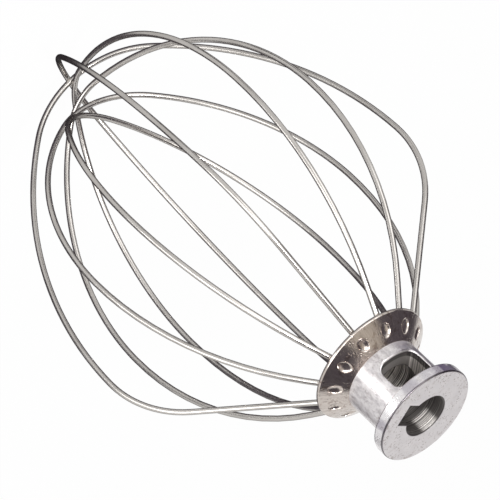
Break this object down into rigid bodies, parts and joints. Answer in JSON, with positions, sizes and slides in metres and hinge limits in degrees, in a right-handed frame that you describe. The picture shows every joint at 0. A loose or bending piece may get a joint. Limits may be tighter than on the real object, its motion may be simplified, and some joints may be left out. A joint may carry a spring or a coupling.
{
  "type": "stand mixer wire whip",
  "caption": "Balloon wire whip for a stand mixer: cast hub with a flanged, slotted shaft socket, and bent wire loops staked in its flared collar.",
  "frame": {"origin": "centre of the shaft socket's mouth, on the hub flange's face", "axes": "+Z along the socket's axis, out of its mouth, the way the mixer's shaft leaves; the wires hang towards -Z; +X in the plane of the widest wire loop"},
  "size_m": [0.1102, 0.104, 0.1644],
  "materials": {
    "cast_hub": "burnished cast aluminium",
    "wire": "bright drawn stainless wire"
  },
  "bodies": {
    "root": {"whip_hub": "cast_hub", "wire_loop_1": "wire", "wire_loop_2": "wire", "wire_loop_3": "wire", "wire_loop_4": "wire", "wire_loop_5": "wire", "wire_loop_6": "wire"}
  },
  "joints": []
}
